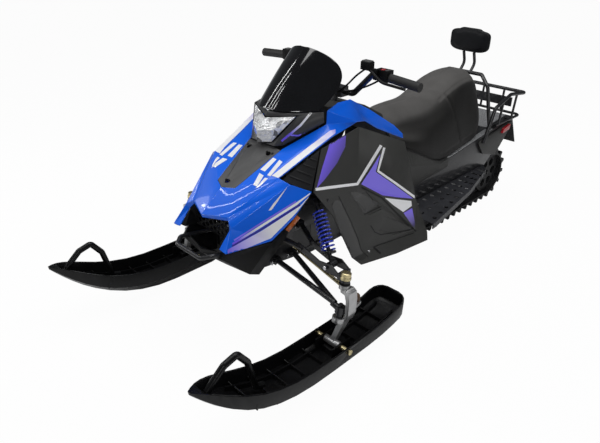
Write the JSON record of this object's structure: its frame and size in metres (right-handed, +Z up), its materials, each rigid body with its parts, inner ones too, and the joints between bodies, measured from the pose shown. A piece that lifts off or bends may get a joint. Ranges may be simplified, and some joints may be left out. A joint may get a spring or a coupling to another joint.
{
  "type": "compact snow bike",
  "caption": "Compact snow bike with steered front skis, a lugged rubber track under a long two-step seat, rear rack and backrest.",
  "frame": {"origin": "on the ground, midway between ski tips and snow flap, on the centre plane", "axes": "+X the rider's left, +Y to the rear (the front faces -Y), +Z up"},
  "size_m": [1.0226, 2.434, 0.9974],
  "materials": {
    "black_steel": "satin powder coat",
    "board": "dark grey coat, punched",
    "blue_plastic": "high gloss",
    "dark_plastic": "fine grained",
    "black_plastic": "semi matt",
    "smoked_screen": "glossy black",
    "clear_lens": "clear",
    "orange_lens": "ribbed reflector",
    "red_lens": "translucent red",
    "vinyl": "grained vinyl",
    "rubber": "moulded rubber",
    "bare_metal": "machined",
    "cast_alloy": "as cast",
    "tread": "speckled tread plate",
    "zinc": "yellow zinc plate",
    "blue_spring": "gloss blue coat"
  },
  "bodies": {
    "chassis": {"tunnel": "black_steel", "running_boards": "board", "bulkhead": "black_steel", "engine_block": "black_steel", "belly_pan": "black_plastic", "front_bumper": "black_steel", "grille": "black_plastic", "hood": "blue_plastic", "hood_insert": "dark_plastic", "headlight_pod": "dark_plastic", "headlight_lens": "clear_lens", "windshield": "smoked_screen", "side_panels": "dark_plastic", "side_louvres": "dark_plastic", "side_markers": "orange_lens", "console": "dark_plastic", "seat": "vinyl", "rear_rack": "black_steel", "grab_bars": "black_steel", "backrest_pad": "vinyl", "rear_fenders": "dark_plastic", "tail_lights": "red_lens", "snow_flap": "rubber", "track": "rubber", "slide_rails": "black_plastic", "idler_wheels": "rubber", "bogie_wheels": "rubber", "drive_axle": "bare_metal", "skid_arms": "black_steel", "skid_shock": "bare_metal", "upper_arms": "black_steel", "lower_arms": "black_steel", "front_shocks": "bare_metal", "front_springs": "blue_spring", "tread_plate": "tread", "seat_skirts": "dark_plastic", "arm_brackets": "black_steel", "body_stays": "black_steel"},
    "steering": {"steering_post": "black_steel", "handlebar": "black_steel", "grips": "rubber", "hand_controls": "black_plastic"},
    "ski_set_left": {"spindle_left": "cast_alloy", "ski_left": "black_plastic", "ski_loop_left": "black_plastic", "ski_pin_left": "zinc"},
    "tie_rod_left": {"tie_rod_left": "zinc"},
    "ski_set_right": {"spindle_right": "cast_alloy", "ski_right": "black_plastic", "ski_loop_right": "black_plastic", "ski_pin_right": "zinc"},
    "tie_rod_right": {"tie_rod_right": "zinc"}
  },
  "joints": [
    {"name": "steer", "type": "hinge", "parent": "chassis", "child": "steering", "pos_m": [0, -0.165, 0.8], "axis": [0, 0.5721, 0.8201], "range_deg": [-34, 34]},
    {"name": "ski_turn_left", "type": "hinge", "parent": "chassis", "child": "ski_set_left", "pos_m": [0.43, -0.601, 0.218], "axis": [0, 0.1644, 0.9864], "range_deg": [-28, 28]},
    {"name": "tie_rod_swing_left", "type": "hinge", "parent": "ski_set_left", "child": "tie_rod_left", "pos_m": [0.445, -0.534, 0.247], "axis": [0, 0.1644, 0.9864], "range_deg": [-28, 28]},
    {"name": "ski_turn_right", "type": "hinge", "parent": "chassis", "child": "ski_set_right", "pos_m": [-0.43, -0.601, 0.218], "axis": [0, 0.1644, 0.9864], "range_deg": [-28, 28]},
    {"name": "tie_rod_swing_right", "type": "hinge", "parent": "ski_set_right", "child": "tie_rod_right", "pos_m": [-0.445, -0.534, 0.247], "axis": [0, 0.1644, 0.9864], "range_deg": [-28, 28]}
  ],
  "couplings": [
    {"joint": "ski_turn_left", "follows": "steer", "ratio": 0.8},
    {"joint": "tie_rod_swing_left", "follows": "steer", "ratio": -0.8},
    {"joint": "ski_turn_right", "follows": "steer", "ratio": 0.8},
    {"joint": "tie_rod_swing_right", "follows": "steer", "ratio": -0.8}
  ]
}
